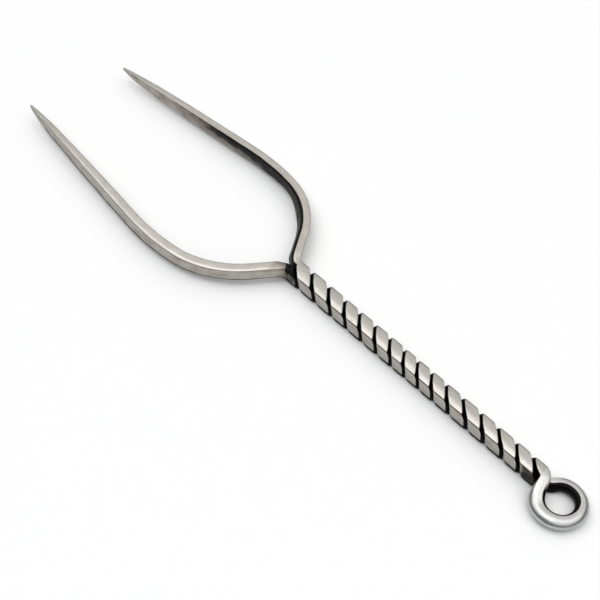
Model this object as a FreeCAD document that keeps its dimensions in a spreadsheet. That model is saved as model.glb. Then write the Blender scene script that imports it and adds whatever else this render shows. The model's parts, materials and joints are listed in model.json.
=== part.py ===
import FreeCAD, Part
import math
import os

import Sketcher

os.makedirs("parts", exist_ok=True)

# A forged divot repair tool: one square steel bar folded into an eye, its two legs twisted together
# and dressed flat on four sides as the handle, the free ends opened out into two pointed prongs.
# Millimetres. +X runs from the prong tips to the eye, +Y to the right prong, +Z up from the table.
# The origin is the middle of the underside of the bounding box. The handle lies along Y = 0.

PARAMETERS = [
    ("tip_left", "-58.43", "X of the left prong's point"),
    ("tip_right", "-56.63", "X of the right prong's point"),
    ("splay", "4.9", "angle of each straight prong to the handle, degrees"),
    ("shoulder_radius", "45", "first, gentle bend of the shoulder"),
    ("shoulder_turn", "13.5", "degrees"),
    ("bend_radius", "16", "second, closer bend of the shoulder"),
    ("bend_turn", "46", "degrees"),
    ("crotch_radius", "1.5", "bend where the leg leaves the twist"),
    ("throat_run", "5.0", "straight run between the bend and the crotch"),
    ("shoulder_width", "1.6", "bar across, at the shoulder"),
    ("shoulder_height", "2.5", "bar up and down, at the shoulder"),
    ("throat_width", "1.7", "bar across, where it bends into the crotch"),
    ("throat_height", "2.06", "bar up and down, where it bends into the crotch"),
    ("prong_corner", "0.3", "edge rounding of the bar"),
    ("root_drop", "0.06", "prong root below the handle's flats"),
    ("root_corner", "0.38", "edge rounding of the prong root"),
    ("taper_back", "9", "where the point's steeper taper starts, behind the point"),
    ("taper_width", "1.22", "bar across, there"),
    ("taper_height", "2.3", "bar up and down, there"),
    ("taper_corner", "0.2", "edge rounding there"),
    ("tip_width", "0.42", "blunt end of the point"),
    ("tip_height", "0.7", "blunt end of the point"),
    ("tip_corner", "0.12", "edge rounding at the point"),
    ("tip_drop", "0.4", "top of the point below the top of the handle"),
    ("handle_start", "2.62", "X where the legs come together"),
    ("handle_height", "3.0", "flat to flat, up and down"),
    ("handle_width", "2.9", "flat to flat, at the fork end"),
    ("handle_width_eye", "2.3", "flat to flat, at the eye end"),
    ("ridge_radius", "1.86", "round the dressed ridges keep from the twist"),
    ("seam_half", "0.72", "half the width of the contact between the legs"),
    ("groove_radius", "0.85", "edge rounding of each leg, which makes the groove"),
    ("leg_gap", "0.02", "hairline between the legs"),
    ("open_pitch", "7.46", "one full turn of the twist, next to the fork"),
    ("open_turns", "1.25", "turns at that pitch"),
    ("front_pitch", "6.24", "one full turn, front half of the handle"),
    ("front_turns", "2", "turns at that pitch"),
    ("tight_pitch", "5.34", "one full turn, middle of the handle"),
    ("tight_turns", "1.5", "turns at that pitch"),
    ("rear_pitch", "6.14", "one full turn, next to the eye"),
    ("rear_turns", "3", "turns at that pitch"),
    ("eye_inner", "1.9", "radius of the hole in the eye"),
    ("eye_bar", "1.85", "bar across, round the eye"),
    ("eye_height", "1.7", "bar up and down, round the eye"),
    ("eye_corner", "0.4", "edge rounding of the eye"),
    ("eye_offset", "-0.85", "Y of the eye's centre"),
    ("eye_level", "1.1", "Z of the middle of the eye's bar"),
    ("eye_reach", "3.82", "eye's centre beyond the end of the twist"),
    ("eye_opening", "35", "half angle of the ring left open for the crossing, degrees"),
]


# Points of a prong's centreline, worked back from the twist: the ends of its straight and curved runs.
# Y is given for the right prong. The left prong mirrors it, and its own point lies further out.
DERIVED = [
    ("shoulder_heading", "=splay - shoulder_turn", "heading between the two bends"),
    ("throat_heading", "=splay - shoulder_turn - bend_turn", "heading of the throat run"),
    ("mid_height", "=handle_height / 2", "Z of the handle's axis"),
    ("root_y", "=handle_width / 4", "Y of a leg where the twist starts"),
    ("root_width", "=handle_width / 2 - leg_gap", "one leg across, where the twist starts"),
    ("root_height", "=handle_height - 2 * root_drop", "one leg up and down, where the twist starts"),
    ("level", "=0", "heading of the twist"),
    ("throat_x", "=handle_start + crotch_radius * sin(throat_heading)", "end of the throat run"),
    ("throat_y", "=root_y + crotch_radius * (1 - cos(throat_heading))", "end of the throat run"),
    ("bend_x", "=throat_x - throat_run * cos(throat_heading)", "end of the closer bend"),
    ("bend_y", "=throat_y - throat_run * sin(throat_heading)", "end of the closer bend"),
    ("bend_run", "=bend_radius * (sin(throat_heading) - sin(shoulder_heading))", "the closer bend, along X"),
    ("bend_rise", "=bend_radius * (cos(shoulder_heading) - cos(throat_heading))", "the closer bend, along Y"),
    ("gentle_x", "=bend_x + bend_run", "end of the gentle bend"),
    ("gentle_y", "=bend_y + bend_rise", "end of the gentle bend"),
    ("shoulder_x", "=gentle_x + shoulder_radius * (sin(shoulder_heading) - sin(splay))", "end of straight"),
    ("shoulder_y", "=gentle_y - shoulder_radius * (cos(shoulder_heading) - cos(splay))", "end of straight"),
    ("tip_y_left", "=shoulder_y - (shoulder_x - tip_left) * tan(splay)", "left point, from Y = 0"),
    ("tip_y_right", "=shoulder_y - (shoulder_x - tip_right) * tan(splay)", "right point"),
    ("taper_left", "=tip_left + taper_back", "X where the left prong's taper steepens"),
    ("taper_right", "=tip_right + taper_back", "X where the right prong's taper steepens"),
    ("taper_y_left", "=tip_y_left + taper_back * tan(splay)", "left, from Y = 0"),
    ("taper_y_right", "=tip_y_right + taper_back * tan(splay)", "right"),
    ("tip_z", "=handle_height - tip_drop - tip_height / 2", "Z of the point"),
    ("taper_z", "=handle_height - taper_height / 2", "Z of the bar where its taper steepens"),
    ("shoulder_z", "=handle_height - shoulder_height / 2", "Z of the bar at the shoulder"),
    ("throat_z", "=handle_height - throat_height / 2", "Z of the bar at the crotch"),
    ("front_start", "=handle_start + open_turns * open_pitch", "X where the second stretch starts"),
    ("front_turn", "=360 * open_turns", "how far a leg has turned by then, degrees"),
    ("tight_start", "=front_start + front_turns * front_pitch", "X where the third stretch starts"),
    ("tight_turn", "=front_turn + 360 * front_turns", "degrees"),
    ("rear_start", "=tight_start + tight_turns * tight_pitch", "X where the last stretch starts"),
    ("rear_turn", "=tight_turn + 360 * tight_turns", "degrees"),
    ("twist_end", "=rear_start + rear_turns * rear_pitch", "X where the eye starts"),
    ("eye_x", "=twist_end + eye_reach", "X of the eye's centre"),
    ("eye_depth", "=-eye_offset", "eye's centre along the XZ plane's own axis"),
    ("ring_start", "=eye_opening - 180", "angle where the ring leaves the top leg, degrees"),
    ("ring_end", "=180 - eye_opening", "angle where the ring joins the bottom leg, degrees"),
    ("leg_height", "=handle_height / 2 - leg_gap", "one leg up and down, at the eye"),
    ("top_leg_z", "=handle_height * 0.75", "Z of the top leg at the eye"),
    ("bottom_leg_z", "=handle_height * 0.25", "Z of the bottom leg at the eye"),
    ("half_circle", "=180", "degrees"),
]


def make_sheet(document):
    sheet = document.addObject("Spreadsheet::Sheet", "Sheet")
    for row, (name, value, note) in enumerate(PARAMETERS + DERIVED, start=1):
        sheet.set("A%d" % row, name)
        sheet.set("B%d" % row, value)
        sheet.set("C%d" % row, note)
        sheet.setAlias("B%d" % row, name)
    document.recompute()
    return sheet


def origin_part(body, role):
    """The named plane or axis of a body's own origin."""
    return next(item for item in body.Origin.OriginFeatures if item.Role == role)


def add_sketch(body, name, role, placement=FreeCAD.Placement()):
    sketch = body.newObject("Sketcher::SketchObject", name)
    sketch.AttachmentSupport = [(origin_part(body, role), "")]
    sketch.MapMode = "FlatFace"
    sketch.AttachmentOffset = placement
    return sketch


def bind(sketch, constraint, name, expression):
    """Add a driving constraint whose value comes from the sheet."""
    index = sketch.addConstraint(constraint)
    sketch.renameConstraint(index, name)
    sketch.setExpression("Constraints." + name, expression)
    return index


def turned(position, axis, degrees):
    return FreeCAD.Placement(FreeCAD.Vector(*position), FreeCAD.Rotation(FreeCAD.Vector(*axis), degrees))


def add_rounded_rectangle(sketch, sizes):
    """Closed outline of four sides and four corner arcs. sizes maps left, bottom, width, height and
    corner to pairs of start value and sheet expression."""
    order = ("left", "bottom", "width", "height", "corner")
    left, bottom, width, height, corner = [sizes[key][0] for key in order]
    right = left + width
    top = bottom + height
    runs = [
        ((left + corner, bottom), (right - corner, bottom)),
        ((right, bottom + corner), (right, top - corner)),
        ((right - corner, top), (left + corner, top)),
        ((left, top - corner), (left, bottom + corner)),
    ]
    centres = [
        (right - corner, bottom + corner),
        (right - corner, top - corner),
        (left + corner, top - corner),
        (left + corner, bottom + corner),
    ]
    for number, (start, end) in enumerate(runs):
        sketch.addGeometry(Part.LineSegment(FreeCAD.Vector(*start), FreeCAD.Vector(*end)))
        circle = Part.Circle(FreeCAD.Vector(*centres[number]), FreeCAD.Vector(0, 0, 1), corner)
        first = (number - 1) * math.pi / 2
        sketch.addGeometry(Part.ArcOfCircle(circle, first, first + math.pi / 2))
    for number in range(4):
        side = 2 * number
        arc = side + 1
        sketch.addConstraint(Sketcher.Constraint("Tangent", side, 2, arc, 1))
        sketch.addConstraint(Sketcher.Constraint("Tangent", arc, 2, (side + 2) % 8, 1))
        sketch.addConstraint(Sketcher.Constraint("Vertical" if number % 2 else "Horizontal", side))
    for arc in (3, 5, 7):
        sketch.addConstraint(Sketcher.Constraint("Equal", 1, arc))
    bind(sketch, Sketcher.Constraint("Radius", 1, corner), "corner", sizes["corner"][1])
    bind(sketch, Sketcher.Constraint("DistanceX", 6, 1, 2, 1, width), "width", sizes["width"][1])
    bind(sketch, Sketcher.Constraint("DistanceY", 0, 1, 4, 1, height), "height", sizes["height"][1])
    bind(sketch, Sketcher.Constraint("DistanceX", -1, 1, 6, 1, left), "left", sizes["left"][1])
    bind(sketch, Sketcher.Constraint("DistanceY", -1, 1, 0, 1, bottom), "bottom", sizes["bottom"][1])


def add_path(sketch, start, heading, moves):
    """Tangent chain of lines and arcs. A move is a length, or a radius and a turn to the left in degrees.
    Returns, for each move, its geometry number and which of its ends comes first and last."""
    chain = []
    point = FreeCAD.Vector(*start)
    for move in moves:
        angle = math.radians(heading)
        ahead = FreeCAD.Vector(math.cos(angle), math.sin(angle), 0)
        if len(move) == 1:
            finish = point + ahead * move[0]
            chain.append((sketch.addGeometry(Part.LineSegment(point, finish)), 1, 2))
            point = finish
            continue
        radius, turn = move
        side = math.copysign(1, turn)
        centre = point + FreeCAD.Vector(-ahead.y, ahead.x, 0) * side * radius
        first = angle - side * math.pi / 2
        last = first + math.radians(turn)
        circle = Part.Circle(centre, FreeCAD.Vector(0, 0, 1), radius)
        arc = Part.ArcOfCircle(circle, min(first, last), max(first, last))
        ends = (1, 2) if turn > 0 else (2, 1)
        chain.append((sketch.addGeometry(arc),) + ends)
        point = centre + FreeCAD.Vector(math.cos(last), math.sin(last), 0) * radius
        heading += turn
    for (before, _, leave), (after, enter, _) in zip(chain, chain[1:]):
        sketch.addConstraint(Sketcher.Constraint("Tangent", before, leave, after, enter))
    return chain


def add_prong_spine(body, sheet, side, tip, tip_y):
    """Line a prong follows from its point to the crotch, at the height of the handle's axis."""
    lift = turned((0, 0, sheet.mid_height), (0, 0, 1), 0)
    sketch = add_sketch(body, body.Name + "_spine", "XY_Plane", lift)
    sketch.setExpression("AttachmentOffset.Base.z", "Sheet.mid_height")
    tip_x = sheet.get(tip)
    straight = (sheet.shoulder_x - tip_x) / math.cos(math.radians(sheet.splay))
    moves = [
        (straight,),
        (sheet.shoulder_radius, -side * sheet.shoulder_turn),
        (sheet.bend_radius, -side * sheet.bend_turn),
        (sheet.throat_run,),
    ]
    chain = add_path(sketch, (tip_x, side * sheet.get(tip_y), 0), side * sheet.splay, moves)
    prong, gentle, close, throat = [number for number, _, _ in chain]
    bind(sketch, Sketcher.Constraint("DistanceX", -1, 1, prong, 1, tip_x), "tip", "Sheet." + tip)
    splay = math.radians(sheet.splay)
    if side > 0:
        bind(sketch, Sketcher.Constraint("Angle", -1, 1, prong, 1, splay), "splay", "Sheet.splay")
    else:
        bind(sketch, Sketcher.Constraint("Angle", prong, 1, -1, 1, splay), "splay", "Sheet.splay")
    for name, number in (("shoulder", gentle), ("bend", close)):
        radius_name = name + "_radius"
        turn_name = name + "_turn"
        radius = Sketcher.Constraint("Radius", number, sheet.get(radius_name))
        turn = Sketcher.Constraint("Angle", number, math.radians(sheet.get(turn_name)))
        bind(sketch, radius, radius_name, "Sheet." + radius_name)
        bind(sketch, turn, turn_name, "Sheet." + turn_name)
    bind(sketch, Sketcher.Constraint("Distance", throat, sheet.throat_run), "throat_run", "Sheet.throat_run")
    throat_x = sheet.throat_x
    bind(sketch, Sketcher.Constraint("DistanceX", -1, 1, throat, 2, throat_x), "throat_x", "Sheet.throat_x")
    end_y = Sketcher.Constraint("DistanceY", -1, 1, throat, 2, side * sheet.throat_y)
    bind(sketch, end_y, "throat_y", "%d * Sheet.throat_y" % side)
    return sketch


def add_section(body, name, role, offset, turn, sizes):
    """Rounded rectangle across a centreline. offset and turn are pairs of value and expression."""
    values = [value for value, _ in offset]
    sketch = add_sketch(body, name, role, turned(values, (0, 1, 0), turn[0]))
    for axis, (_, expression) in zip("xyz", offset):
        sketch.setExpression("AttachmentOffset.Base." + axis, expression)
    sketch.setExpression("AttachmentOffset.Rotation.Angle", turn[1])
    add_rounded_rectangle(sketch, sizes)
    return sketch


def centred(sheet, width, height, corner):
    """Sizes of a rounded rectangle about its own centre, from three names in the sheet."""
    return {
        "left": (-sheet.get(width) / 2, "-Sheet.%s / 2" % width),
        "bottom": (-sheet.get(height) / 2, "-Sheet.%s / 2" % height),
        "width": (sheet.get(width), "Sheet." + width),
        "height": (sheet.get(height), "Sheet." + height),
        "corner": (sheet.get(corner), "Sheet." + corner),
    }


def prong_station(sheet, side, x_name, y_name, z_name, heading_name):
    """Place of a section along the bar: offset in the plane's own axes, and its turn."""
    offset = [
        (side * sheet.get(y_name), "%d * Sheet.%s" % (side, y_name)),
        (sheet.get(z_name), "Sheet." + z_name),
        (sheet.get(x_name), "Sheet." + x_name),
    ]
    return offset, (side * sheet.get(heading_name), "%d * Sheet.%s" % (side, heading_name))


def add_prong(document, sheet, name, side, hand):
    """hand ends the names of the cells that differ between the two prongs."""
    body = document.addObject("PartDesign::Body", name)
    spine = add_prong_spine(body, sheet, side, "tip_" + hand, "tip_y_" + hand)
    sections = {}
    for label, station, corner in (
        ("tip", ("tip_" + hand, "tip_y_" + hand, "tip_z", "splay"), "tip_corner"),
        ("taper", ("taper_" + hand, "taper_y_" + hand, "taper_z", "splay"), "taper_corner"),
        ("shoulder", ("shoulder_x", "shoulder_y", "shoulder_z", "splay"), "prong_corner"),
        ("throat", ("throat_x", "throat_y", "throat_z", "throat_heading"), "prong_corner"),
        ("root", ("handle_start", "root_y", "mid_height", "level"), "root_corner"),
    ):
        offset, turn = prong_station(sheet, side, *station)
        sizes = centred(sheet, label + "_width", label + "_height", corner)
        sections[label] = add_section(body, "%s_%s" % (name, label), "YZ_Plane", offset, turn, sizes)
    document.recompute()
    pipe = body.newObject("PartDesign::AdditivePipe", name + "_pipe")
    pipe.Profile = sections["tip"]
    pipe.Spine = spine
    pipe.Transformation = "Multisection"
    pipe.Sections = [(sections[label], [""]) for label in ("taper", "shoulder", "throat")]
    document.recompute()
    loft = body.newObject("PartDesign::AdditiveLoft", name + "_root_loft")
    loft.Profile = sections["throat"]
    loft.Sections = [(sections["root"], [""])]
    loft.Ruled = True
    return body


def add_leg_outline(sketch, sheet, side):
    """One leg of the twist, cut square to the handle: flat against the other leg, round outside, and
    rounded between the two so that the legs leave a groove."""
    half = sheet.seam_half
    groove = sheet.groove_radius
    outer = sheet.ridge_radius
    inset = sheet.leg_gap / 2
    centre = FreeCAD.Vector(inset + groove, half, 0)
    reach = centre.Length
    along = (outer ** 2 - groove ** 2 + reach ** 2) / (2 * reach)
    across = math.sqrt(outer ** 2 - along ** 2)
    meet_x = (along * centre.x - across * centre.y) / reach
    meet_y = (along * centre.y + across * centre.x) / reach
    groove_angle = math.atan2(meet_y - half, meet_x - centre.x)
    outer_angle = math.atan2(meet_y, meet_x)
    turn = math.pi if side < 0 else 0
    normal = FreeCAD.Vector(0, 0, 1)
    upper = FreeCAD.Vector(side * centre.x, side * half, 0)
    lower = FreeCAD.Vector(side * centre.x, -side * half, 0)
    seam_start = FreeCAD.Vector(side * inset, side * half, 0)
    seam_end = FreeCAD.Vector(side * inset, -side * half, 0)
    sketch.addGeometry(Part.LineSegment(seam_start, seam_end))
    lower_arc = Part.Circle(lower, normal, groove)
    sketch.addGeometry(Part.ArcOfCircle(lower_arc, turn + math.pi, turn + 2 * math.pi - groove_angle))
    outer_arc = Part.Circle(FreeCAD.Vector(0, 0, 0), normal, outer)
    sketch.addGeometry(Part.ArcOfCircle(outer_arc, turn - outer_angle, turn + outer_angle))
    upper_arc = Part.Circle(upper, normal, groove)
    sketch.addGeometry(Part.ArcOfCircle(upper_arc, turn + groove_angle, turn + math.pi))
    for first, second in ((0, 1), (3, 0)):
        sketch.addConstraint(Sketcher.Constraint("Tangent", first, 2, second, 1))
    for first, second in ((1, 2), (2, 3)):
        sketch.addConstraint(Sketcher.Constraint("Coincident", first, 2, second, 1))
    sketch.addConstraint(Sketcher.Constraint("Coincident", 2, 3, -1, 1))
    sketch.addConstraint(Sketcher.Constraint("Equal", 1, 3))
    sketch.addConstraint(Sketcher.Constraint("Symmetric", 0, 1, 0, 2, -1))
    bind(sketch, Sketcher.Constraint("Radius", 1, groove), "groove", "Sheet.groove_radius")
    bind(sketch, Sketcher.Constraint("Radius", 2, outer), "ridge", "Sheet.ridge_radius")
    bind(sketch, Sketcher.Constraint("Distance", 0, 2 * half), "seam", "2 * Sheet.seam_half")
    gap = Sketcher.Constraint("DistanceX", -1, 1, 0, 1, side * inset)
    bind(sketch, gap, "inset", "%d * Sheet.leg_gap / 2" % side)


def add_twist(body, sheet, name, side, start, turn, pitch, turns):
    """One stretch of a leg, swept round the handle's axis. start, turn, pitch and turns are cell names."""
    place = turned((0, 0, sheet.get(start)), (0, 0, 1), sheet.get(turn))
    sketch = add_sketch(body, name + "_section", "YZ_Plane", place)
    sketch.setExpression("AttachmentOffset.Base.z", "Sheet." + start)
    sketch.setExpression("AttachmentOffset.Rotation.Angle", "Sheet." + turn)
    add_leg_outline(sketch, sheet, side)
    body.Document.recompute()
    helix = body.newObject("PartDesign::AdditiveHelix", name)
    helix.Profile = sketch
    helix.ReferenceAxis = (origin_part(body, "X_Axis"), [""])
    helix.Mode = 1
    helix.setExpression("Pitch", "Sheet." + pitch)
    helix.setExpression("Turns", "Sheet." + turns)
    body.Document.recompute()


def add_polygon(sketch, label, corners):
    """Closed outline through corners, each given as x, its expression, y and its expression."""
    first = sketch.GeometryCount
    points = [FreeCAD.Vector(x, y, 0) for x, _, y, _ in corners]
    for start, finish in zip(points, points[1:] + points[:1]):
        sketch.addGeometry(Part.LineSegment(start, finish))
    for number, (x, x_text, y, y_text) in enumerate(corners):
        line = first + number
        following = first + (number + 1) % len(corners)
        sketch.addConstraint(Sketcher.Constraint("Coincident", line, 2, following, 1))
        bind(sketch, Sketcher.Constraint("DistanceX", -1, 1, line, 1, x), "%s_x%d" % (label, number), x_text)
        bind(sketch, Sketcher.Constraint("DistanceY", -1, 1, line, 1, y), "%s_y%d" % (label, number), y_text)


def dress_flats(body, sheet, name, role, fork_size, eye_size):
    """Cut the twist back to two opposite flats, square to the given plane. Sizes are cell names."""
    start = sheet.handle_start
    end = sheet.twist_end
    fork = (sheet.get(fork_size) / 2, "Sheet.%s / 2" % fork_size)
    eye = (sheet.get(eye_size) / 2, "Sheet.%s / 2" % eye_size)
    beyond = (sheet.handle_height, "Sheet.handle_height")
    sketch = add_sketch(body, name + "_outline", role)
    for label, at_start, at_end, margin in (("kept", fork, eye, 1), ("cut", beyond, beyond, 2)):
        left = (start - margin, "Sheet.handle_start - %d" % margin)
        right = (end + margin, "Sheet.twist_end + %d" % margin)
        corners = [
            left + (-at_start[0], "-" + at_start[1]),
            right + (-at_end[0], "-" + at_end[1]),
            right + at_end,
            left + at_start,
        ]
        add_polygon(sketch, label, corners)
    body.Document.recompute()
    pocket = body.newObject("PartDesign::Pocket", name)
    pocket.Profile = sketch
    pocket.Type = "ThroughAll"
    pocket.SideType = "Symmetric"
    body.Document.recompute()


def add_strand(document, sheet, name, side):
    body = document.addObject("PartDesign::Body", name)
    body.setExpression("Placement.Base.z", "Sheet.mid_height")
    for stretch, start, turn in (
        ("open", "handle_start", "level"),
        ("front", "front_start", "front_turn"),
        ("tight", "tight_start", "tight_turn"),
        ("rear", "rear_start", "rear_turn"),
    ):
        label = "%s_%s" % (name, stretch)
        add_twist(body, sheet, label, side, start, turn, stretch + "_pitch", stretch + "_turns")
    dress_flats(body, sheet, name + "_sides", "XY_Plane", "handle_width", "handle_width_eye")
    dress_flats(body, sheet, name + "_faces", "XZ_Plane", "handle_height", "handle_height")
    return body


def ring_section(body, sheet, name, turn):
    """The bar's section on a radius of the eye, at the angle in the named cell."""
    offset = [
        (sheet.eye_x, "Sheet.eye_x"),
        (sheet.eye_level, "Sheet.eye_level"),
        (sheet.eye_depth, "Sheet.eye_depth"),
    ]
    sizes = centred(sheet, "eye_bar", "eye_height", "eye_corner")
    sizes["left"] = (sheet.eye_inner, "Sheet.eye_inner")
    return add_section(body, name, "XZ_Plane", offset, (sheet.get(turn), "Sheet." + turn), sizes)


def add_lead(body, sheet, name, ring_turn, height, turn):
    """Where a leg of the twist opens into the eye."""
    near = ring_section(body, sheet, name + "_near", ring_turn)
    offset = [(0, "0"), (sheet.get(height), "Sheet." + height), (sheet.twist_end, "Sheet.twist_end")]
    sizes = centred(sheet, "handle_width_eye", "leg_height", "eye_corner")
    far = add_section(body, name + "_far", "YZ_Plane", offset, (sheet.get(turn), "Sheet." + turn), sizes)
    body.Document.recompute()
    loft = body.newObject("PartDesign::AdditiveLoft", name)
    loft.Profile = near
    loft.Sections = [(far, [""])]
    loft.Ruled = True
    body.Document.recompute()


def add_eye(document, sheet, name):
    body = document.addObject("PartDesign::Body", name)
    section = ring_section(body, sheet, name + "_section", "ring_start")
    document.recompute()
    ring = body.newObject("PartDesign::Revolution", name + "_ring")
    ring.Profile = section
    ring.ReferenceAxis = (section, ["V_Axis"])
    ring.setExpression("Angle", "2 * Sheet.ring_end")
    document.recompute()
    add_lead(body, sheet, name + "_top_lead", "ring_start", "top_leg_z", "half_circle")
    add_lead(body, sheet, name + "_bottom_lead", "ring_end", "bottom_leg_z", "level")
    return body


def check(document):
    """Stop if any object failed to compute or has a bad shape."""
    for item in document.Objects:
        if "Invalid" in item.State or "Error" in item.State:
            raise RuntimeError("%s did not compute" % item.Name)
        shape = getattr(item, "Shape", None)
        if shape is not None and item.isDerivedFrom("PartDesign::Feature"):
            if shape.isNull() or not shape.isValid():
                raise RuntimeError("%s has a bad shape" % item.Name)


def main():
    document = FreeCAD.newDocument("divot_repair_tool")
    sheet = make_sheet(document)
    nodes = [
        add_prong(document, sheet, "left_prong", -1, "left"),
        add_prong(document, sheet, "right_prong", 1, "right"),
        add_strand(document, sheet, "left_strand", -1),
        add_strand(document, sheet, "right_strand", 1),
        add_eye(document, sheet, "eye_loop"),
    ]
    document.recompute()
    check(document)
    for node in nodes:
        node.Label = node.Name
        node.Shape.exportStep("parts/%s.step" % node.Name)


main()
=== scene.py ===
import json
import math

import bpy
import numpy as np
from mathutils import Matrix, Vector


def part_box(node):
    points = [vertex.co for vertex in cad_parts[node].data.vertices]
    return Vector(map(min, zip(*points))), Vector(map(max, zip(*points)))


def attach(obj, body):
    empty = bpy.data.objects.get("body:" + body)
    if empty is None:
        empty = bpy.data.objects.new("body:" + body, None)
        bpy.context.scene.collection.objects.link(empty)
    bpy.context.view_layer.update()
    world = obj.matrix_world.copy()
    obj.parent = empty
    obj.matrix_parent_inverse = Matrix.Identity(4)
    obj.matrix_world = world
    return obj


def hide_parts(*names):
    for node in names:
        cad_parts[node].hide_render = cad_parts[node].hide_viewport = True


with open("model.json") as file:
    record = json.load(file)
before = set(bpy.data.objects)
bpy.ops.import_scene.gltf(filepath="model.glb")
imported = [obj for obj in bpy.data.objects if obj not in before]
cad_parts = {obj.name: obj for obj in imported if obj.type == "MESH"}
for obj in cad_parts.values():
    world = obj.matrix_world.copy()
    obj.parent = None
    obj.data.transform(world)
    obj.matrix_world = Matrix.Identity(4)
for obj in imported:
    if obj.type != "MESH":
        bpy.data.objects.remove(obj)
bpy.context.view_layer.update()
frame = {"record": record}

# A forged divot repair tool: one steel bar folded into an eye, twisted into a square handle, its ends
# opened out into two prongs. Lengths are in millimetres until mesh_piece and make_camera turn them into
# metres. Darkness runs from 0 for clean steel to 1 for black. It holds black oxide in the twist's grooves,
# mottling near the left prong's root, a darkening of sideways faces, and painted shade under the ridges,
# along the bottom edges, in the recesses, on the prongs' inner faces and inside the eye's hole. A pair of
# numbers in a darkness setting gives the values where it fades in and where it is full, for ease().
MM = 0.001
HALF_TURN = 180
RIGHT = 1
LEFT = -1
rng = np.random.default_rng(7)

# Patterns on the steel: how often each repeats in a millimetre along, across and up the bar, its detail
# and its roughness.
CLOUD = ((0.5, 0.9, 0.9), 3, 0.5)
BRUSHING = ((0.35, 9, 9), 4, 0.65)
FINE_GRAIN = ((5, 6.5, 6.5), 3, 0.6)
SCRATCHES = ((1.1, 16, 5), 1, 0.5)
PIT_SCALE = 0.8
# The values of a pattern, of the distance to a pit or of the darkness between which each mark appears.
TONE_LIMITS = (0.35, 0.65)
SPECKLE_LIMITS = (0.3, 0.7)
BRUSHING_LIMITS = (0.3, 0.7)
SCRATCH_LIMITS = (0.73, 0.78)
PIT_LIMITS = (0.13, 0.06)
# Rust-brown and black follow the darkness, so they fall on the painted shade as well as on the oxide.
RUST_AND_SHADE_LIMITS = (0.14, 0.32)
BLACK_LIMITS = (0.25, 0.6)
# How strongly the marks show.
PIT_TINT = (0.05, 0.045, 0.04)
RUST_AND_SHADE_TINT = (0.17, 0.12, 0.085)
BLACK_TINT = (0.011, 0.01, 0.01)
SPECKLE_SHADE = 0.8
SPECKLE_SHARE = 0.5
RUST_AND_SHADE_SHARE = 0.5
PATINA_AND_SHADE_EDGE_NOISE = 0.5
SCRATCH_ROUGHNESS = 0.12
PATINA_AND_SHADE_ROUGHNESS = 0.2
SCRATCH_DEPTH = 0.5
PIT_DEPTH = 4
BUMP_STRENGTH = 0.6
BUMP_DISTANCE = 0.01 * MM
# Offsets that give each prong and the eye their own patch of the patterns.
PRONG_GRAIN = 20
EYE_GRAIN = 60
# Degrees between two faces above which the edge is shaded sharp.
SHARP_EDGE = 65

# Handmade variation: length of the bar, length of the waves, and how far they stray.
HANDLE_WIDTH_WANDER = (48, 9, 0.012)
HANDLE_HEIGHT_WANDER = (48, 7, 0.005)
PRONG_WIDTH_WANDER = (60, 8, 0.02)
PRONG_HEIGHT_WANDER = (60, 8, 0.025)

# Twist: spacing along the handle of the facets that face up, from the fork to the eye.
FACET_SPACING = (1.84, 3.8, 3.65, 3.2, 3.2, 3.1, 3.0, 2.6, 2.7, 2.7, 2.95, 3.35, 3.0, 3.3, 2.75, 3.0)
QUARTER_STEPS = 30
STEP = 90 / QUARTER_STEPS
SEAM_STEPS = 6
TWIST_SAMPLES = 2000
TWIST_WINDOW = 121
# Share of the handle's length, and the width there.
HANDLE_WIDTHS = ((0.0, 2.96), (0.25, 2.78), (0.5, 2.62), (1.0, 2.4))
FACE_CROWN = 0.155
SIDE_CROWN = 0.015
RIDGE_POWER = 24
GROOVE_FLOOR = 0.45
GROOVE_SLOPE = 1.85
SIDE_WIDENING = 0.35
GROOVE_POWER = 10
LEAN = -16
CORNER_LEAN = -5
SEAM_GAP = 0.01
EYE_PARTING = 0.65
EYE_PARTING_RUN = 3.2

# Darkness on the handle: black oxide by the groove's depth; painted shade by degrees above its middle, as
# a dark line under the upper ridges and a dark band along the bottom edges; and a darkening by how squarely
# a spot faces sideways or up.
GROOVE_SOIL = (0.03, 0.1)
UNDER_RIDGE_SHADE = 0.5
UNDER_RIDGE_LOWER = (36, 41)
UNDER_RIDGE_UPPER = (46, 44)
FOOT_SHADE = 0.7
FOOT_UPPER = (-20, -32)
FOOT_LOWER = (-55, -47)
SIDEWAYS_DARKENING = 0.2
SIDE_FACING = (0.7, 0.78)
TOP_FACING = (0.15, 0.65)
# Painted shade in the recesses beside the crotch, and beside the eye: by the distance from that end of the
# handle.
ROOT_SHADE = 0.68
ROOT_LOWER_SHARE = 0.6
ROOT_SHADE_RUN = (2.2, 1.4)
RECESS_SHADE = 0.52
RECESS_SHADE_RUN = (-3.2, -2.0)
RECESS_FACING = (0.62, 0.77)

# Prong: the straight and curved runs of its centreline, from the twist back to the point.
CROTCH_RADIUS = 1.5
THROAT_RUN = 5.0
BEND_RADIUS = 16
SHOULDER_RADIUS = 45
THROAT_HEADING = 54.6
BEND_TURN = 46
SHOULDER_TURN = 13.5
PRONG_STEP = 0.25
FEWEST_STEPS = 8
LOOP_POINTS = 96
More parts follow.
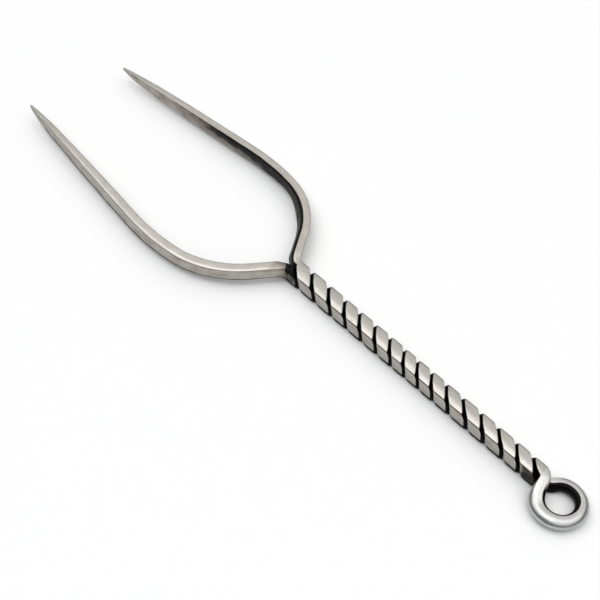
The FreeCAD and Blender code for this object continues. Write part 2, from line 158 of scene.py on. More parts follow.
# Distance from the point, bar across, bar up and down.
PRONG_SIZES = (
    (0, 0.22, 0.36),
    (2, 0.68, 1.05),
    (5, 0.99, 1.58),
    (9, 1.22, 2.0),
    (19, 1.45, 2.4),
    (28, 1.62, 2.5),
    (38, 1.64, 2.5),
    (46, 1.68, 2.25),
    (53, 1.7, 2.06),
    (59, 1.7, 2.0),
)
SIZE_WINDOW = 23
WANDER_GROWTH = 6
ROOT_BLEND = 2.6
NOSE_LENGTH = 0.12
NOSE_FLOOR = 0.02
EDGE_POWER = 8
WORN_EDGE_POWER = 6
EDGE_BEVEL_TILT = 17
EDGE_BEVEL_START = 0.5
EDGE_BEVEL_BLEND = 40
LEAST_FACING = 0.01
TIP_DROP = 0.7
DROP_RUN = 20
OUTWARD_LEAN = 0.05
THROAT_LEAN = {RIGHT: 0.4, LEFT: 0}
THROAT_LEAN_RUN = (43, 53)

# Darkness on the prongs: painted shade on the inner face, along the bottom edge and at the crotch, a
# darker outer face, and mottling near the left root; by the distance from the point or the root, and by
# how squarely a spot faces up or outwards. The inner face begins at a share of a half turn from facing
# outwards.
INNER_FACE_START = {RIGHT: 0.6, LEFT: 0.68}
INNER_FACE_BLEND = 0.06
INNER_RISE = (-0.9, 0.7)
INNER_UPPER_SHADE = 0.66
INNER_LOWER_SHADE = 0.34
THROAT_EXTRA_SHADE = 0.2
THROAT_SHADE_RUN = (33, 41)
POINT_INNER_SHADE = 0.25
INNER_SHADE_RUN = (10, 32)
PRONG_FOOT_DOWN = (-0.58, -0.72)
PRONG_FOOT_OUT = (0.35, 0.5)
PRONG_FOOT_RUN = 8
OUTER_FACING = (0.55, 0.65)
OUTER_SHARE = 1.15
POINT_OUTER_SHARE = 0.5
POINT_OUTER_RUN = 25
MOTTLING_SOIL = {RIGHT: 0, LEFT: 0.42}
MOTTLING_RUN = 6
CROTCH_SHADE_RUN = {RIGHT: 1.2, LEFT: 1.9}
CROTCH_FACING = (0, -0.5)

# Eye: the bar round the hole, where it meets the strands, and how far each end takes to change level
# and shape.
RING_BAR = 1.85
LEG_BAR = 2.25
LEG_TAPER = 150
RING_HEIGHT = 1.7
RING_POWER = 2.5
BEVEL_POWER = 1.7
TOP_JOIN = -155
BOTTOM_JOIN = 145
STRAND_HEADING = -30
RING_STEPS = 150
LEAD_STEPS = 40
TOP_FALL = 4.6
BOTTOM_RISE = 4.0
SHAPE_RUN = 4.2
# Painted shade on the eye, inside the hole and under the ring's outer edge: by the distance from the top
# strand, and by how squarely a spot faces up or outwards.
RING_SHADE_RUN = (7, 14)
HOLE_SHADE_START = 0.7
HOLE_SHADE_SPREAD = 0.13
EYE_FOOT_DOWN = (-0.15, -0.4)
EYE_FOOT_OUT = (0.58, 0.73)

# Studio: the floor's size and the nearest thing the camera shows are in metres.
FLOOR_METRES = 4.0
FLOOR_TINT = (0.815, 0.82, 0.825)
FLOOR_ROUGHNESS = 0.8
NEAR_LIMIT = 0.001


def smooth(value):
    """Ease from 0 to 1."""
    value = np.clip(value, 0, 1)
    return value * value * (3 - 2 * value)


def ease(value, start, full):
    """0 at start and before it, 1 at full and beyond it, and smooth between. full may be below start."""
    return smooth((value - start) / (full - start))


def heading_vector(degrees):
    angle = np.radians(degrees)
    return np.stack([np.cos(angle), np.sin(angle)], axis=-1)


def averaged(values, count):
    """The values smoothed over a bell-shaped window of count values. The first and last stay put."""
    window = np.hanning(count)
    padded = np.pad(values, count // 2, mode="reflect", reflect_type="odd")
    return np.convolve(padded, window / window.sum(), mode="valid")


def distance_along(points):
    """Distance of each point from the first, along the line through them."""
    steps = np.hypot(*np.diff(points, axis=0).T)
    return np.concatenate([[0], np.cumsum(steps)])


def wander(length, wavelength, amount):
    """Slow, seeded, handmade variation along a bar, as a function of distance."""
    waves = max(3, int(length / wavelength))
    frequencies = rng.uniform(0.4, 1.3, waves) * 2 * math.pi / wavelength
    phases = rng.uniform(0, 2 * math.pi, waves)

    def value(distance):
        total = sum(np.sin(frequency * distance + phase) for frequency, phase in zip(frequencies, phases))
        return amount * total / math.sqrt(waves)

    return value


def end_caps(rings, points):
    """The flat faces that close both ends of a tube of rings."""
    return [list(range(points - 1, -1, -1)), list(range((rings - 1) * points, rings * points))]


def grid_faces(rings, points):
    """Faces of a closed tube of rings, with a flat cap at each end."""
    ring = np.arange(rings - 1)[:, None] * points
    column = np.arange(points)[None, :]
    after = (column + 1) % points
    quads = np.stack([ring + column, ring + after, ring + points + after, ring + points + column], axis=-1)
    return quads.reshape(-1, 4).tolist() + end_caps(rings, points)


def strand_faces(rings, points):
    """Triangles whose diagonals run along the handle, so that ridges and grooves both follow edges."""
    faces = []
    for ring in range(rings - 1):
        here = ring * points
        ahead = here + points
        for column in range(points):
            after = (column + 1) % points
            faces.append((here + column, here + after, ahead + column))
            faces.append((here + after, ahead + after, ahead + column))
    return faces + end_caps(rings, points)


def mesh_piece(name, node, rings, bar, patina_and_shade, material, faces=None):
    """A closed piece from an array of rings of points, with its bar coordinates and its darkness (black
    oxide and painted shade) stored on it.
    """
    count, points, _ = rings.shape
    mesh = bpy.data.meshes.new(name)
    mesh.from_pydata((rings.reshape(-1, 3) * MM).tolist(), [], faces or grid_faces(count, points))
    mesh.validate()
    mesh.shade_smooth()
    mesh.set_sharp_from_angle(angle=math.radians(SHARP_EDGE))
    where = mesh.attributes.new("bar", "FLOAT_VECTOR", "POINT")
    where.data.foreach_set("vector", bar.reshape(-1).astype(np.float32))
    dark = mesh.attributes.new("patina_and_shade", "FLOAT", "POINT")
    dark.data.foreach_set("value", patina_and_shade.reshape(-1).astype(np.float32))
    mesh.materials.append(material)
    piece = bpy.data.objects.new(name, mesh)
    bpy.context.collection.objects.link(piece)
    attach(piece, "root")
    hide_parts(node)


# ---------------------------------------------------------------- steel

class Shading:
    """A material and short ways to add the nodes it needs."""

    def __init__(self, name):
        self.material = bpy.data.materials.new(name)
        self.material.use_nodes = True
        self.tree = self.material.node_tree
        self.tree.nodes.clear()

    def link(self, source, socket):
        self.tree.links.new(source, socket)

    def add(self, kind, **settings):
        node = self.tree.nodes.new("ShaderNode" + kind)
        for key, value in settings.items():
            if hasattr(node, key):
                setattr(node, key, value)
            else:
                node.inputs[key.replace("_", " ")].default_value = value
        return node

    def ramp(self, source, limits, start=0, end=1):
        """Go smoothly from start to end as the source goes from the first limit to the second."""
        node = self.add("MapRange", interpolation_type="SMOOTHSTEP")
        for key, value in zip(("From Min", "From Max", "To Min", "To Max"), (*limits, start, end)):
            node.inputs[key].default_value = value
        self.link(source, node.inputs["Value"])
        return node.outputs["Result"]

    def noise(self, where, scale, detail, roughness):
        mapping = self.add("Mapping")
        mapping.inputs["Scale"].default_value = scale
        self.link(where, mapping.inputs["Vector"])
        noise = self.add("TexNoise", Scale=1.0, Detail=detail, Roughness=roughness)
        self.link(mapping.outputs["Vector"], noise.inputs["Vector"])
        return noise.outputs["Fac"]

    def mix(self, factor, first, second):
        """Mix two colours, each a tint or a socket."""
        node = self.add("Mix", data_type="RGBA")
        self.link(factor, node.inputs[0])
        for socket, value in ((node.inputs[6], first), (node.inputs[7], second)):
            if isinstance(value, tuple):
                socket.default_value = value + (1,)
            else:
                self.link(value, socket)
        return node.outputs[2]

    def calculate(self, operation, first, second):
        """Add, subtract or multiply two values, each a number or a socket."""
        node = self.add("Math", operation=operation)
        for socket, value in zip(node.inputs, (first, second)):
            if isinstance(value, (int, float)):
                socket.default_value = value
            else:
                self.link(value, socket)
        return node.outputs[0]


def steel_colour(shading, cloud, fine, pitted, black, noisy_patina_and_shade, light, dim):
    metal = shading.mix(shading.ramp(cloud, TONE_LIMITS), dim, light)
    speckle = shading.ramp(fine, SPECKLE_LIMITS, end=SPECKLE_SHARE)
    metal = shading.mix(speckle, metal, tuple(SPECKLE_SHADE * part for part in dim))
    metal = shading.mix(pitted, metal, PIT_TINT)
    metal = shading.mix(shading.ramp(noisy_patina_and_shade, RUST_AND_SHADE_LIMITS, end=RUST_AND_SHADE_SHARE), metal, RUST_AND_SHADE_TINT)
    return shading.mix(black, metal, BLACK_TINT)


def steel_roughness(shading, brushed, scratched, black, gloss):
    rough = shading.ramp(brushed, BRUSHING_LIMITS, *gloss)
    rough = shading.calculate("ADD", rough, shading.calculate("MULTIPLY", scratched, SCRATCH_ROUGHNESS))
    return shading.calculate("ADD", rough, shading.calculate("MULTIPLY", black, PATINA_AND_SHADE_ROUGHNESS))


def steel_relief(shading, brushed, fine, pit, scratched, brushing, grain, pits):
    depth = shading.calculate("MULTIPLY", brushed, brushing)
    depth = shading.calculate("ADD", depth, shading.calculate("MULTIPLY", fine, grain))
    depth = shading.calculate("SUBTRACT", depth, shading.calculate("MULTIPLY", pit, PIT_DEPTH * pits))
    depth = shading.calculate("SUBTRACT", depth, shading.calculate("MULTIPLY", scratched, SCRATCH_DEPTH))
    bump = shading.add("Bump", Strength=BUMP_STRENGTH, Distance=BUMP_DISTANCE)
    shading.link(depth, bump.inputs["Height"])
    return bump.outputs["Normal"]


def steel(name, light, dim, gloss, brushing, grain, pits):
    """Worked stainless steel. light and dim are its two tints, gloss its roughness range; brushing, grain
    and pits are how deep each mark is."""
    shading = Shading(name)
    where = shading.add("Attribute", attribute_name="bar").outputs["Vector"]
    # The darkness attribute: black oxide and painted shade.
    patina_and_shade = shading.add("Attribute", attribute_name="patina_and_shade").outputs["Fac"]

    cloud = shading.noise(where, *CLOUD)
    brushed = shading.noise(where, *BRUSHING)
    fine = shading.noise(where, *FINE_GRAIN)
    scratched = shading.ramp(shading.noise(where, *SCRATCHES), SCRATCH_LIMITS)
    pit_cells = shading.add("TexVoronoi", feature="F1", Scale=PIT_SCALE)
    shading.link(where, pit_cells.inputs["Vector"])
    pit = shading.ramp(pit_cells.outputs["Distance"], PIT_LIMITS)
    pitted = shading.calculate("MULTIPLY", pit, pits)
    # The darkness gets a noisy edge and turns rust-brown, then black, on the painted shade as on the oxide.
    edge_noise = shading.calculate("MULTIPLY", shading.calculate("SUBTRACT", cloud, 0.5), PATINA_AND_SHADE_EDGE_NOISE)
    noisy_patina_and_shade = shading.calculate("ADD", patina_and_shade, edge_noise)
    black = shading.ramp(noisy_patina_and_shade, BLACK_LIMITS)

    metal = steel_colour(shading, cloud, fine, pitted, black, noisy_patina_and_shade, light, dim)
    rough = steel_roughness(shading, brushed, scratched, black, gloss)
    normal = steel_relief(shading, brushed, fine, pit, scratched, brushing, grain, pits)
    shader = shading.add("BsdfPrincipled", Metallic=1.0)
    shading.link(metal, shader.inputs["Base Color"])
    shading.link(rough, shader.inputs["Roughness"])
    shading.link(normal, shader.inputs["Normal"])
    shading.link(shader.outputs["BSDF"], shading.add("OutputMaterial").inputs["Surface"])
    return shading.material


# ---------------------------------------------------------------- handle

strand_low, strand_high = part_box("right_strand")
handle_start = strand_low.x / MM
handle_end = strand_high.x / MM
handle_top = strand_high.z / MM
mid_height = handle_top / 2

spacing = np.cumsum((0,) + FACET_SPACING)
knots = handle_start + spacing / spacing[-1] * (handle_end - handle_start)
knot_turns = np.concatenate([[0], 90 + HALF_TURN * np.arange(len(FACET_SPACING))])


def leaned(angle):
    """Degrees a groove has advanced when it is at an angle round the handle. Grooves run faster across
    the top and bottom than down the sides, and step along at the ridges."""
    return angle + LEAN * np.sin(2 * np.radians(angle)) + CORNER_LEAN * np.sin(4 * np.radians(angle))


def twist_rings():
    """X of each ring. The twist turns one step from ring to ring, and its pitch changes gradually."""
    fine_x = np.linspace(handle_start, handle_end, TWIST_SAMPLES)
    turn = averaged(np.interp(fine_x, knots, knot_turns), TWIST_WINDOW)
    turn = (turn - turn[0]) / (turn[-1] - turn[0]) * knot_turns[-1]
    return np.interp(ring_turn, turn, fine_x)


ring_angle = np.arange(0, knot_turns[-1] + STEP / 2, STEP)
ring_turn = leaned(ring_angle + 90) - 90
ring_x = twist_rings()
width_wander = wander(*HANDLE_WIDTH_WANDER)
height_wander = wander(*HANDLE_HEIGHT_WANDER)


def handle_half_width(x):
    share = (x - handle_start) / (handle_end - handle_start)
    places, widths = zip(*HANDLE_WIDTHS)
    return np.interp(share, places, widths) / 2 + width_wander(x)


def crowned(facing, along, crown):
    """One over the distance to a slightly domed face, in the direction (facing, along)."""
    return (facing + np.sqrt(facing ** 2 + 4 * crown * along ** 2)) / 2


def facet_radius(angle, off_centre, widening):
    """Distance from the handle's axis, in half widths, at an angle round it and an angle off the middle
    of the strand. Also how far the groove has cut below the dressed flat. widening opens the groove."""
    across = np.abs(np.cos(angle))
    up = np.abs(np.sin(angle))
    sides = crowned(across, up, SIDE_CROWN) ** RIDGE_POWER
    faces = crowned(up, across, FACE_CROWN) ** RIDGE_POWER
    flat = (sides + faces) ** (-1 / RIDGE_POWER)
    slope = (GROOVE_SLOPE - SIDE_WIDENING * np.cos(2 * angle)) * (1 - widening)
    groove = GROOVE_FLOOR + slope * (math.pi / 2 - np.abs(off_centre))
    radius = (flat ** -GROOVE_POWER + groove ** -GROOVE_POWER) ** (-1 / GROOVE_POWER)
    return radius, 1 - radius / flat


def recess_shade(x, angle, first_turn):
    """Painted shade in two recesses: the left leg beside the crotch, and the right leg's side beside the
    eye.
    """
    if first_turn:
        share = ROOT_LOWER_SHARE + (1 - ROOT_LOWER_SHARE) * ease(np.sin(angle), *TOP_FACING)
        return ROOT_SHADE * share * ease(x - handle_start, *ROOT_SHADE_RUN)
    return RECESS_SHADE * ease(x - handle_end, *RECESS_SHADE_RUN) * ease(-np.cos(angle), *RECESS_FACING)


def strand_patina_and_shade(x, angle, depth, first_turn):
    """How dark the outside of a strand is: black oxide from the groove's depth, painted shade and darker
    sides from the angle round the handle, and painted shade in the recesses.
    """
    elevation = np.degrees(np.arcsin(np.sin(angle)))
    # Painted shade: a dark line just under each upper ridge.
    under_ridge = ease(elevation, *UNDER_RIDGE_LOWER) * ease(elevation, *UNDER_RIDGE_UPPER)
    # Painted shade: a dark band along the bottom edges.
    foot = FOOT_SHADE * ease(elevation, *FOOT_UPPER) * ease(elevation, *FOOT_LOWER)
    # Faces turned sideways are a little darker.
    side = SIDEWAYS_DARKENING * ease(np.abs(np.cos(angle)), *SIDE_FACING)
    # Painted shade in the recesses.
    recess = recess_shade(x, angle, first_turn)
    return np.maximum.reduce([ease(depth, *GROOVE_SOIL), UNDER_RIDGE_SHADE * under_ridge, foot, side, recess])


def strand_ring(number, first_turn):
    """Y and Z of one ring of a strand, and how dark it is. The outside comes first, then the seam."""
    middle = first_turn + number * STEP
    degrees = middle + np.arange(-QUARTER_STEPS, QUARTER_STEPS + 1) * STEP
    angle = np.radians(degrees)
    off_centre = np.radians(leaned(degrees) - first_turn - ring_turn[number])
    x = ring_x[number]
    parted = EYE_PARTING * ease(x, handle_end - EYE_PARTING_RUN, handle_end) if first_turn else 0
    radius, depth = facet_radius(angle, off_centre, np.where(off_centre > 0, parted, 0))
    outside = np.stack([
        handle_half_width(x) * radius * np.cos(angle),
        (mid_height + height_wander(x)) * radius * np.sin(angle),
    ], axis=-1)
    share = (np.arange(1, SEAM_STEPS) / SEAM_STEPS)[:, None]
    seam = outside[-1] * (1 - share) + outside[0] * share + SEAM_GAP * heading_vector(middle)
    loop = np.concatenate([outside, seam])
    loop[:, 1] = np.clip(loop[:, 1], -mid_height, mid_height) + mid_height
    return loop, np.concatenate([strand_patina_and_shade(x, angle, depth, first_turn), np.ones(SEAM_STEPS - 1)])


def make_strand(hand, first_turn, material):
    loops, patina_and_shade_loops = zip(*(strand_ring(number, first_turn) for number in range(len(ring_x))))
    loops = np.array(loops)
    along = np.broadcast_to(ring_x[:, None, None], loops.shape[:2] + (1,))
    rings = np.concatenate([along, loops], axis=-1)
    faces = strand_faces(*loops.shape[:2])
    name = hand + "_twisted_leg"
    mesh_piece(name, hand + "_strand", rings, rings, np.array(patina_and_shade_loops), material, faces)


# ---------------------------------------------------------------- sections of the bar

# Angles round a section: 0 faces outwards, a right angle faces up. They crowd towards the four corners.
# turned_in is 0 where the section faces outwards and 1 where it faces inwards.
loop_turn = np.arange(LOOP_POINTS) * 2 * math.pi / LOOP_POINTS - math.pi
loop_angle = np.arctan2(
    np.sign(np.sin(loop_turn)) * np.sqrt(np.abs(np.sin(loop_turn))),
    np.sign(np.cos(loop_turn)) * np.sqrt(np.abs(np.cos(loop_turn))),
)
facing_out = np.cos(loop_angle)
facing_up = np.sin(loop_angle)
turned_in = np.abs(loop_angle) / math.pi
outer_top = (loop_angle > 0) & (loop_angle < math.pi / 2)


def bar_radius(width, height, power):
    """Distance from the bar's centre to its surface at each loop angle, for a bar with rounded edges.
    The lower the power, the rounder the edge; it may differ from angle to angle."""
    across = np.abs(facing_out) * 2 / width
    up = np.abs(facing_up) * 2 / height
    return (across ** power + up ** power) ** (-1 / power)


def bevelled(radius, width, height):
    """The same radius cut by a shallow bevel along the outer top edge."""
    tilt = math.radians(EDGE_BEVEL_TILT)
    reach = EDGE_BEVEL_START * width / 2 * math.sin(tilt) + height / 2 * math.cos(tilt)
    facing = facing_out * math.sin(tilt) + facing_up * math.cos(tilt)
    bevel = reach / np.maximum(facing, LEAST_FACING)
    return (radius ** -EDGE_BEVEL_BLEND + bevel ** -EDGE_BEVEL_BLEND) ** (-1 / EDGE_BEVEL_BLEND)


def outline_radius(loop, centre, flip):
    """The same for a given outline, seen from centre. flip turns it left to right."""
    local = (loop - centre) * np.array([flip, 1])
    angle = np.arctan2(local[:, 1], local[:, 0])
    order = np.argsort(angle)
    distance = np.hypot(local[:, 0], local[:, 1])
    return np.interp(loop_angle, angle[order], distance[order], period=2 * math.pi)


def placed(places, outward, level, across, up):
    """The points of each section: across runs outward from its place in plan, up rises from its level."""
    return np.stack([
        places[:, :1] + across * outward[:, :1],
        places[:, 1:] + across * outward[:, 1:],
        level + up,
    ], axis=-1)


def bar_coordinates(distance, across, up, grain):
    """Where each point is along, across and up its bar. grain moves it to its own patch of the patterns."""
    return np.stack([np.broadcast_to(distance, across.shape), across, up + grain], axis=-1)


# ---------------------------------------------------------------- prongs

root_y = handle_half_width(handle_start) / 2


def prong_centreline(side, tip_x):
    """Points and headings from the point to the twist."""
    moves = (
        (CROTCH_RADIUS, -THROAT_HEADING),
        (0, THROAT_RUN),
        (BEND_RADIUS, BEND_TURN),
        (SHOULDER_RADIUS, SHOULDER_TURN),
    )
    point = np.array([handle_start, root_y])
    heading = float(HALF_TURN)
    line = [(point, heading)]
    for radius, amount in moves:
        length = radius * math.radians(abs(amount)) if radius else amount
        count = max(FEWEST_STEPS, int(length / PRONG_STEP))
        turn = amount / count if radius else 0
        for _ in range(count):
            point = point + length / count * heading_vector(heading + turn / 2)
            heading += turn
            line.append((point, heading))
    ahead = heading_vector(heading)
    straight = (tip_x - point[0]) / ahead[0]
    count = int(straight / PRONG_STEP)
    for number in range(1, count + 1):
        line.append((point + ahead * straight * number / count, heading))
    line.reverse()
    points = np.array([place for place, _ in line])
    headings = np.array([angle - HALF_TURN for _, angle in line])
    points[:, 1] *= side
    return points, headings * side


def prong_size(distance):
    """Width and height of the bar at each distance from the point."""
    places, widths, heights = zip(*PRONG_SIZES)
    growth = smooth(distance / WANDER_GROWTH)
    sizes = []
    for values, waves in ((widths, PRONG_WIDTH_WANDER), (heights, PRONG_HEIGHT_WANDER)):
        size = averaged(np.interp(distance, places, values), SIZE_WINDOW)
        size = size + wander(*waves)(distance) * growth
        sizes.append(size[:, None])
    return sizes


def prong_radius(side, distance, width, height, to_root):
    """Distance from the bar's centre to its surface, with a row for each section and a column for each
    loop angle. It turns into the strand's own outline at the root, and closes at the point."""
    radius = bar_radius(width, height, np.where(outer_top, WORN_EDGE_POWER, EDGE_POWER))
    if side == LEFT:
        radius = bevelled(radius, width, height)
    root_loop, _ = strand_ring(0, 0)
    root = outline_radius(root_loop, np.array([root_y, mid_height]), 1)
    radius = radius * (1 - to_root) + root * to_root
    short_of_full = 1 - np.clip(distance / NOSE_LENGTH, 0, 1)
    return radius * np.sqrt(np.clip(1 - short_of_full ** 2, NOSE_FLOOR, 1))


def prong_mottling_and_shade(side, distance):
    """How dark the prong is, with a row for each section and a column for each loop angle: painted shade on
    the inner face, along the bottom edge and at the crotch, a darker outer face, and mottling near the left
    root.
    """
    remaining = distance[-1] - distance
    # Painted shade on the inner face, darkest near its top and towards the throat, lighter near the point.
    lower = INNER_LOWER_SHADE + THROAT_EXTRA_SHADE * ease(distance, *THROAT_SHADE_RUN)
    inside = lower + (INNER_UPPER_SHADE - lower) * ease(facing_up, *INNER_RISE)
    inside = POINT_INNER_SHADE + (inside - POINT_INNER_SHADE) * ease(distance, *INNER_SHADE_RUN)
    inside = inside * smooth((turned_in - INNER_FACE_START[side]) / INNER_FACE_BLEND)
    # Painted shade along the bottom edge, fading in from the point.
    foot = FOOT_SHADE * ease(facing_up, *PRONG_FOOT_DOWN) * ease(facing_out, *PRONG_FOOT_OUT)
    foot = foot * smooth(distance / PRONG_FOOT_RUN)
    # The outer face is darker, more so near the point.
    outside = OUTER_SHARE + POINT_OUTER_SHARE * ease(distance, POINT_OUTER_RUN, 0)
    outside = outside * SIDEWAYS_DARKENING * ease(facing_out, *OUTER_FACING)
    mottling = MOTTLING_SOIL[side] * ease(remaining, MOTTLING_RUN, 0)
    # Painted shade where the prong runs into the crotch.
    crotch = ease(facing_out, *CROTCH_FACING) if side == RIGHT else ease(facing_up, *TOP_FACING)
    crotch = crotch * ease(remaining, CROTCH_SHADE_RUN[side], 0)
    return np.maximum.reduce(np.broadcast_arrays(inside, foot, outside, mottling, crotch))


def make_prong(hand, side, material):
    node = hand + "_prong"
    low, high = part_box(node)
    points, headings = prong_centreline(side, low.x / MM)
    along = distance_along(points)
    width, height = prong_size(along)
    distance = along[:, None]
    to_root = ease(distance[-1] - distance, ROOT_BLEND, 0)
    radius = prong_radius(side, distance, width, height, to_root)
    up = radius * facing_up
    throat_lean = THROAT_LEAN[side] * ease(distance, *THROAT_LEAN_RUN)
    lean = OUTWARD_LEAN * up + throat_lean * (height / 2 - up)
    across = radius * facing_out - lean * (1 - to_root)
    top = high.z / MM - TIP_DROP * np.clip(1 - distance / DROP_RUN, 0, 1) ** 2
    level = (top - height / 2) * (1 - to_root) + mid_height * to_root
    rings = placed(points, side * heading_vector(headings + 90), level, across, up)
    bar = bar_coordinates(distance, across, up, PRONG_GRAIN * side)
    patina_and_shade = prong_mottling_and_shade(side, distance)
    # The left prong mirrors the right one, so its points are taken in the other order.
    rings, bar, patina_and_shade = rings[:, ::side], bar[:, ::side], patina_and_shade[:, ::side]
    mesh_piece(hand + "_forged_prong", node, rings, bar, patina_and_shade, material)


# ---------------------------------------------------------------- eye

def curve_between(start, start_heading, end, end_heading, share):
    """Point on a smooth curve that leaves start and reaches end along the given headings."""
    reach = np.hypot(*(end - start))
    depart = heading_vector(start_heading) * reach
    arrive = heading_vector(end_heading) * reach
    square = share * share
    cube = square * share
    return (
        (2 * cube - 3 * square + 1) * start
        + (cube - 2 * square + share) * depart
        + (3 * square - 2 * cube) * end
        + (cube - square) * arrive
    )


def bar_across(angle):
    """Width of the eye's bar, full where it comes off the top strand and thinner round the ring."""
    return LEG_BAR + (RING_BAR - LEG_BAR) * smooth((angle - TOP_JOIN) / LEG_TAPER)


def eye_stations(centre, hole_radius):
    """Places and headings of the eye's sections, and the bar's width there: off the top strand, round the
    hole, back to the bottom strand. The first and last sections are square to the handle."""
    strand_end = np.array([handle_end, 0.0])
    top_join = centre + (hole_radius + LEG_BAR / 2) * heading_vector(TOP_JOIN)
    bottom_join = centre + (hole_radius + RING_BAR / 2) * heading_vector(BOTTOM_JOIN)
    top_heading = TOP_JOIN + 90
    bottom_heading = BOTTOM_JOIN + 90
    back_heading = HALF_TURN - STRAND_HEADING
    stations = []
    for share in np.arange(LEAD_STEPS) / LEAD_STEPS:
        place = curve_between(strand_end, STRAND_HEADING, top_join, top_heading, share)
        stations.append((place, top_heading * math.sin(share * math.pi / 2), LEG_BAR))
    for angle in np.linspace(TOP_JOIN, BOTTOM_JOIN, RING_STEPS):
        width = bar_across(angle)
        place = centre + (hole_radius + width / 2) * heading_vector(angle)
        stations.append((place, angle + 90, width))
    for share in np.arange(1, LEAD_STEPS + 1) / LEAD_STEPS:
        place = curve_between(bottom_join, bottom_heading, strand_end, back_heading, share)
        stations.append((place, bottom_heading + (HALF_TURN - bottom_heading) * smooth(share), RING_BAR))
    places, headings, widths = zip(*stations)
    return np.array(places), np.array(headings), np.array(widths)


def eye_shade(distance):
    """How dark the eye is, all of it painted shade: black inside the hole, and dark under the ring's outer
    edge.
    """
    round_ring = ease(distance, *RING_SHADE_RUN)
    shaded_from = HOLE_SHADE_START - HOLE_SHADE_SPREAD * round_ring
    # Painted shade inside the hole, reaching further up the inner wall round the ring.
    inside = smooth((turned_in - shaded_from) / INNER_FACE_BLEND) * smooth(distance / SHAPE_RUN)
    # Painted shade under the ring's outer edge.
    foot = FOOT_SHADE * ease(facing_up, *EYE_FOOT_DOWN) * ease(facing_out, *EYE_FOOT_OUT)
    return np.maximum(inside, foot * round_ring)


def make_eye(material):
    mount = next(item for item in frame["record"]["mounts"] if item["name"] == "eye")
    centre_x, centre_y, ring_z = [part / MM for part in mount["pos_m"]]
    places, headings, widths = eye_stations(np.array([centre_x, centre_y]), mount["dims"]["r_mm"])
    distance = distance_along(places)[:, None]
    remaining = distance[-1] - distance
    last = len(ring_x) - 1
    top_z = mid_height * 1.5
    bottom_z = mid_height * 0.5
    top_loop, _ = strand_ring(last, HALF_TURN)
    bottom_loop, _ = strand_ring(last, 0)
    top = outline_radius(top_loop, np.array([0, top_z]), -1)
    bottom = outline_radius(bottom_loop, np.array([0, bottom_z]), 1)
    from_top = 1 - smooth(distance / SHAPE_RUN)
    from_bottom = 1 - smooth(remaining / SHAPE_RUN)
    level = ring_z + (top_z - ring_z) * (1 - smooth(distance / TOP_FALL))
    level = level + (bottom_z - ring_z) * (1 - smooth(remaining / BOTTOM_RISE))
    radius = bar_radius(widths[:, None], RING_HEIGHT, np.where(outer_top, BEVEL_POWER, RING_POWER))
    radius = radius * (1 - from_top - from_bottom) + top * from_top + bottom * from_bottom
    across = radius * facing_out
    up = radius * facing_up
    rings = placed(places, heading_vector(headings - 90), level, across, up)[:, ::-1]
    bar = bar_coordinates(distance, across, up, EYE_GRAIN)[:, ::-1]
    mesh_piece("bent_eye", "eye_loop", rings, bar, eye_shade(distance)[:, ::-1], material)


prong_steel = steel(
    "prong_steel",
    light=(0.53, 0.505, 0.47),
    dim=(0.45, 0.43, 0.4),
    gloss=(0.28, 0.4),
    brushing=1.0,
    grain=0.4,
    pits=0.25,
)
handle_steel = steel(
    "handle_steel",
    light=(0.52, 0.5, 0.47),
    dim=(0.44, 0.425, 0.4),
    gloss=(0.25, 0.36),
    brushing=0.6,
    grain=0.5,
    pits=0.5,
)
eye_steel = steel(
    "eye_steel",
    light=(0.53, 0.53, 0.53),
    dim=(0.47, 0.47, 0.465),
    gloss=(0.26, 0.36),
    brushing=0.8,
    grain=0.4,
    pits=0.2,
)

make_strand("right", 0, handle_steel)
make_strand("left", HALF_TURN, handle_steel)
make_prong("right", RIGHT, prong_steel)
make_prong("left", LEFT, prong_steel)
make_eye(eye_steel)


# ---------------------------------------------------------------- studio

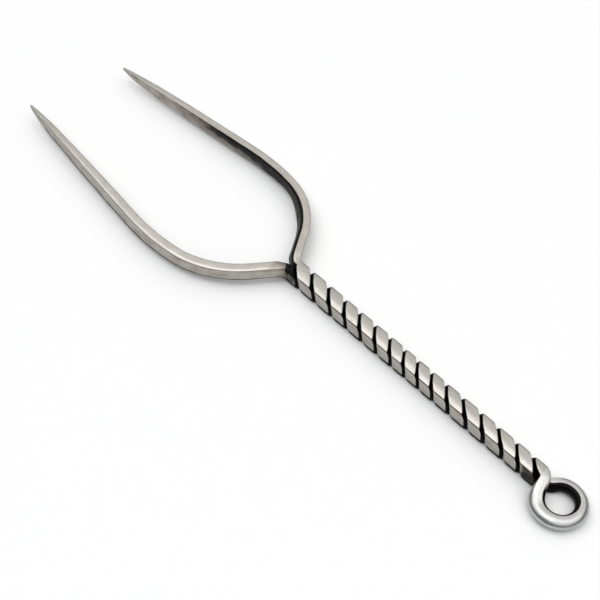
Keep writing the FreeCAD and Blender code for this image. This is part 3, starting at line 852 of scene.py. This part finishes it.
def make_floor(size):
    mesh = bpy.data.meshes.new("floor")
    half = size / 2
    corners = [(-half, -half, 0), (half, -half, 0), (half, half, 0), (-half, half, 0)]
    mesh.from_pydata(corners, [], [(0, 1, 2, 3)])
    material = bpy.data.materials.new("pale_floor")
    material.use_nodes = True
    shader = material.node_tree.nodes["Principled BSDF"]
    shader.inputs["Base Color"].default_value = FLOOR_TINT + (1,)
    shader.inputs["Roughness"].default_value = FLOOR_ROUGHNESS
    mesh.materials.append(material)
    floor = bpy.data.objects.new("floor", mesh)
    bpy.context.collection.objects.link(floor)


def aim(thing, direction):
    """Turn a light or camera to look along a direction, with its top side up."""
    thing.rotation_mode = "QUATERNION"
    thing.rotation_quaternion = Vector(direction).to_track_quat("-Z", "Y")


def make_sun(name, direction, strength, spread, colour):
    """A soft light so large and far that it lights the floor evenly."""
    data = bpy.data.lights.new(name, "SUN")
    data.energy = strength
    data.angle = math.radians(spread)
    data.color = colour
    light = bpy.data.objects.new(name, data)
    aim(light, direction)
    bpy.context.collection.objects.link(light)


def make_world(colour, strength):
    world = bpy.data.worlds.new("studio")
    world.use_nodes = True
    background = world.node_tree.nodes["Background"]
    background.inputs["Color"].default_value = colour + (1,)
    background.inputs["Strength"].default_value = strength
    bpy.context.scene.world = world


def make_camera(location, target, view_angle):
    data = bpy.data.cameras.new("camera")
    data.angle = math.radians(view_angle)
    data.clip_start = NEAR_LIMIT
    camera = bpy.data.objects.new("camera", data)
    camera.location = Vector(location) * MM
    aim(camera, Vector(target) * MM - camera.location)
    bpy.context.collection.objects.link(camera)
    bpy.context.scene.camera = camera


make_floor(FLOOR_METRES)
make_sun("key_softbox", direction=(0.42, 0.22, -0.88), strength=0.72, spread=54, colour=(1.0, 1.0, 1.0))
make_sun("fill_softbox", direction=(0.1, -0.28, -0.95), strength=1.85, spread=105, colour=(1.0, 0.97, 0.93))
make_sun("front_softbox", direction=(-0.45, 0.1, -0.88), strength=1.05, spread=80, colour=(1.0, 1.0, 1.0))
make_world(colour=(0.85, 0.93, 1.0), strength=0.18)
make_camera(location=(81.11, -68.27, 114.37), target=(8.376, -4.106, 3.0), view_angle=33.3)
bpy.context.scene.view_settings.view_transform = "Standard"
